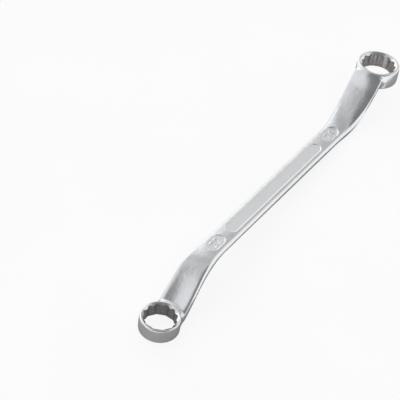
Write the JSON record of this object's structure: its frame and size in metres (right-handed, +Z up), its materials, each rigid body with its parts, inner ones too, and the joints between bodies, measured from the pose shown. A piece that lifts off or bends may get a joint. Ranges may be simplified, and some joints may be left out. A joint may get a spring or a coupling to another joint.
{
  "type": "ring spanner",
  "caption": "Double-ended ring spanner forged in one piece, with cranked heads, twelve-point bores and a sunk panel along the flat handle.",
  "frame": {"origin": "centre of the bounding box's underside, at bench height below the middle of the tool", "axes": "+Z up as the tool lies on a bench, +X along its length from the small ring to the large ring, Y across the handle"},
  "size_m": [0.3172, 0.034, 0.0337],
  "materials": {
    "chromed_steel": "satin chrome plating, brighter on the rims and along the edges, fine matt ground in the sunk panel"
  },
  "bodies": {
    "root": {"spanner_forging": "chromed_steel"}
  },
  "joints": []
}
